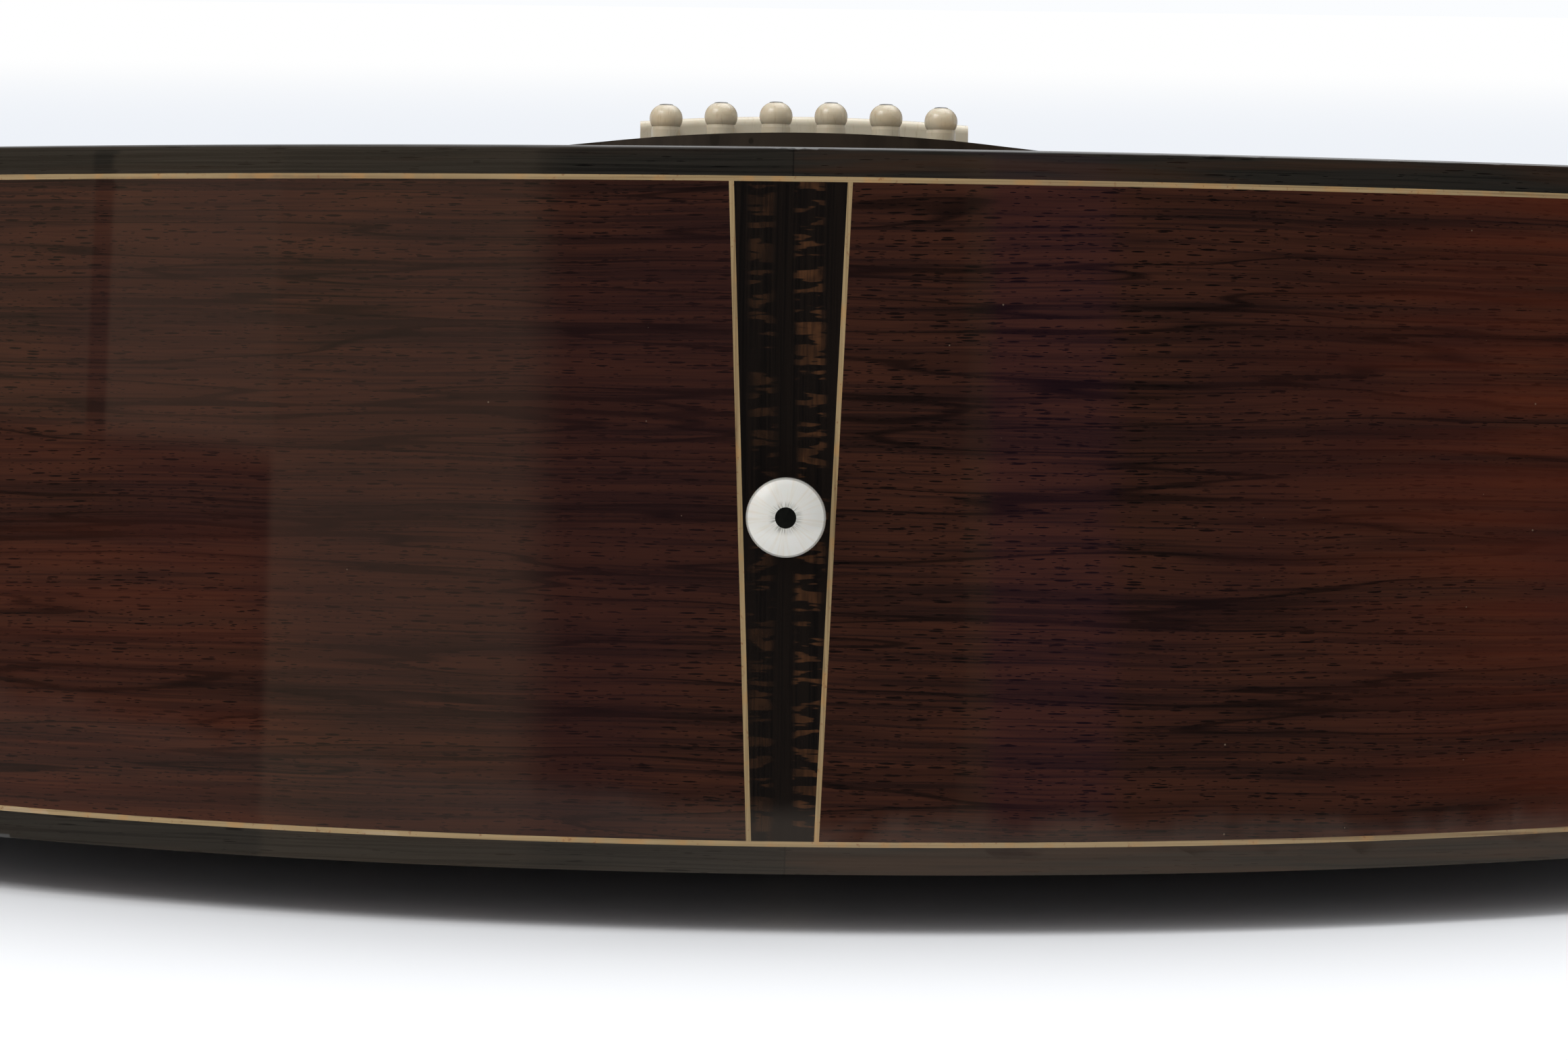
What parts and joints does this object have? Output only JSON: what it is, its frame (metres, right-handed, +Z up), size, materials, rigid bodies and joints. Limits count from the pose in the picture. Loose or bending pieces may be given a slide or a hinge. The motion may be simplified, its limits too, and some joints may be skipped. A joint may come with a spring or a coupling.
{
  "type": "acoustic guitar",
  "caption": "Dreadnought acoustic guitar with a hollow rosewood body, flat spruce top, fretted neck and open-gear tuners, lying on its back.",
  "frame": {"origin": "centre of the box, on the surface that the guitar's back and headstock lie on", "axes": "+Y from the tail to the headstock, +Z up out of the surface, +X to the treble side"},
  "size_m": [0.397, 1.0482, 0.1384],
  "materials": {
    "spruce": "gloss lacquer",
    "rosewood": "gloss lacquer",
    "binding_wood": "gloss lacquer",
    "maple": "gloss lacquer",
    "lining_wood": "plain",
    "mahogany": "satin lacquer",
    "ebony": "polished",
    "bone": "polished bone",
    "black_inlay": "polished",
    "pickguard": "polished",
    "nickel": "nickel plate",
    "steel": "plain",
    "string_metal": "wound bronze and plain steel",
    "pearl": "polished shell"
  },
  "bodies": {
    "guitar": {"soundboard": "spruce", "back": "rosewood", "back_center_strip": "maple", "side_bass": "rosewood", "side_treble": "rosewood", "tail_wedge": "rosewood", "tail_wedge_lines": "maple", "top_binding": "binding_wood", "back_binding": "binding_wood", "purfling_lines": "maple", "kerfed_linings": "lining_wood", "neck_block": "mahogany", "tail_block": "mahogany", "x_braces": "spruce", "soundboard_braces": "spruce", "bridge_plate": "maple", "back_braces": "spruce", "rosette": "maple", "pickguard": "pickguard", "bridge": "ebony", "saddle": "bone", "end_pin": "bone", "end_pin_dot": "black_inlay", "neck": "mahogany", "heel_cap": "binding_wood", "truss_rod": "steel", "fingerboard": "ebony", "frets": "nickel", "position_dots": "pearl", "nut": "bone", "headplate": "rosewood", "strings": "string_metal", "tuner_plates": "nickel", "tuner_screws": "nickel", "tuner_bushings": "nickel"},
    "truss_rod_nut": {"truss_rod_nut": "steel"},
    "bridge_pin_1": {"bridge_pin_1": "bone"},
    "tuner_button_1": {"tuner_button_1": "nickel"},
    "tuner_post_1": {"tuner_post_1": "nickel", "tuner_gear_1": "nickel"},
    "bridge_pin_2": {"bridge_pin_2": "bone"},
    "tuner_button_2": {"tuner_button_2": "nickel"},
    "tuner_post_2": {"tuner_post_2": "nickel", "tuner_gear_2": "nickel"},
    "bridge_pin_3": {"bridge_pin_3": "bone"},
    "tuner_button_3": {"tuner_button_3": "nickel"},
    "tuner_post_3": {"tuner_post_3": "nickel", "tuner_gear_3": "nickel"},
    "bridge_pin_4": {"bridge_pin_4": "bone"},
    "tuner_button_4": {"tuner_button_4": "nickel"},
    "tuner_post_4": {"tuner_post_4": "nickel", "tuner_gear_4": "nickel"},
    "bridge_pin_5": {"bridge_pin_5": "bone"},
    "tuner_button_5": {"tuner_button_5": "nickel"},
    "tuner_post_5": {"tuner_post_5": "nickel", "tuner_gear_5": "nickel"},
    "bridge_pin_6": {"bridge_pin_6": "bone"},
    "tuner_button_6": {"tuner_button_6": "nickel"},
    "tuner_post_6": {"tuner_post_6": "nickel", "tuner_gear_6": "nickel"}
  },
  "joints": [
    {"name": "truss_rod_nut_turn", "type": "hinge", "parent": "guitar", "child": "truss_rod_nut", "pos_m": [0, -0.02467, 0.09424], "axis": [0, 0.9973, -0.0729], "range_deg": [-180, 180]},
    {"name": "bridge_pin_1_pull", "type": "slide", "parent": "guitar", "child": "bridge_pin_1", "axis": [0, 0.0625, 0.998], "range_m": [0, 0.03]},
    {"name": "tuner_button_1_turn", "type": "hinge", "parent": "guitar", "child": "tuner_button_1", "pos_m": [-0.02038, 0.39576, 0.0416], "axis": [1, 0, 0], "continuous": true},
    {"name": "tuner_post_1_turn", "type": "hinge", "parent": "guitar", "child": "tuner_post_1", "pos_m": [-0.02038, 0.38776, 0.04641], "axis": [0, 0.3613, 0.9324], "continuous": true},
    {"name": "bridge_pin_2_pull", "type": "slide", "parent": "guitar", "child": "bridge_pin_2", "axis": [0, 0.0625, 0.998], "range_m": [0, 0.03]},
    {"name": "tuner_button_2_turn", "type": "hinge", "parent": "guitar", "child": "tuner_button_2", "pos_m": [-0.0227, 0.43492, 0.02642], "axis": [1, 0, 0], "continuous": true},
    {"name": "tuner_post_2_turn", "type": "hinge", "parent": "guitar", "child": "tuner_post_2", "pos_m": [-0.0227, 0.42692, 0.03124], "axis": [0, 0.3613, 0.9324], "continuous": true},
    {"name": "bridge_pin_3_pull", "type": "slide", "parent": "guitar", "child": "bridge_pin_3", "axis": [0, 0.0625, 0.998], "range_m": [0, 0.03]},
    {"name": "tuner_button_3_turn", "type": "hinge", "parent": "guitar", "child": "tuner_button_3", "pos_m": [-0.02501, 0.47408, 0.01125], "axis": [1, 0, 0], "continuous": true},
    {"name": "tuner_post_3_turn", "type": "hinge", "parent": "guitar", "child": "tuner_post_3", "pos_m": [-0.02501, 0.46608, 0.01606], "axis": [0, 0.3613, 0.9324], "continuous": true},
    {"name": "bridge_pin_4_pull", "type": "slide", "parent": "guitar", "child": "bridge_pin_4", "axis": [0, 0.0625, 0.998], "range_m": [0, 0.03]},
    {"name": "tuner_button_4_turn", "type": "hinge", "parent": "guitar", "child": "tuner_button_4", "pos_m": [0.02501, 0.47408, 0.01125], "axis": [1, 0, 0], "continuous": true},
    {"name": "tuner_post_4_turn", "type": "hinge", "parent": "guitar", "child": "tuner_post_4", "pos_m": [0.02501, 0.46608, 0.01606], "axis": [0, 0.3613, 0.9324], "continuous": true},
    {"name": "bridge_pin_5_pull", "type": "slide", "parent": "guitar", "child": "bridge_pin_5", "axis": [0, 0.0625, 0.998], "range_m": [0, 0.03]},
    {"name": "tuner_button_5_turn", "type": "hinge", "parent": "guitar", "child": "tuner_button_5", "pos_m": [0.0227, 0.43492, 0.02642], "axis": [1, 0, 0], "continuous": true},
    {"name": "tuner_post_5_turn", "type": "hinge", "parent": "guitar", "child": "tuner_post_5", "pos_m": [0.0227, 0.42692, 0.03124], "axis": [0, 0.3613, 0.9324], "continuous": true},
    {"name": "bridge_pin_6_pull", "type": "slide", "parent": "guitar", "child": "bridge_pin_6", "axis": [0, 0.0625, 0.998], "range_m": [0, 0.03]},
    {"name": "tuner_button_6_turn", "type": "hinge", "parent": "guitar", "child": "tuner_button_6", "pos_m": [0.02038, 0.39576, 0.0416], "axis": [1, 0, 0], "continuous": true},
    {"name": "tuner_post_6_turn", "type": "hinge", "parent": "guitar", "child": "tuner_post_6", "pos_m": [0.02038, 0.38776, 0.04641], "axis": [0, 0.3613, 0.9324], "continuous": true}
  ],
  "couplings": [
    {"joint": "tuner_post_1_turn", "follows": "tuner_button_1_turn", "ratio": -0.0625},
    {"joint": "tuner_post_2_turn", "follows": "tuner_button_2_turn", "ratio": -0.0625},
    {"joint": "tuner_post_3_turn", "follows": "tuner_button_3_turn", "ratio": -0.0625},
    {"joint": "tuner_post_4_turn", "follows": "tuner_button_4_turn", "ratio": 0.0625},
    {"joint": "tuner_post_5_turn", "follows": "tuner_button_5_turn", "ratio": 0.0625},
    {"joint": "tuner_post_6_turn", "follows": "tuner_button_6_turn", "ratio": 0.0625}
  ]
}
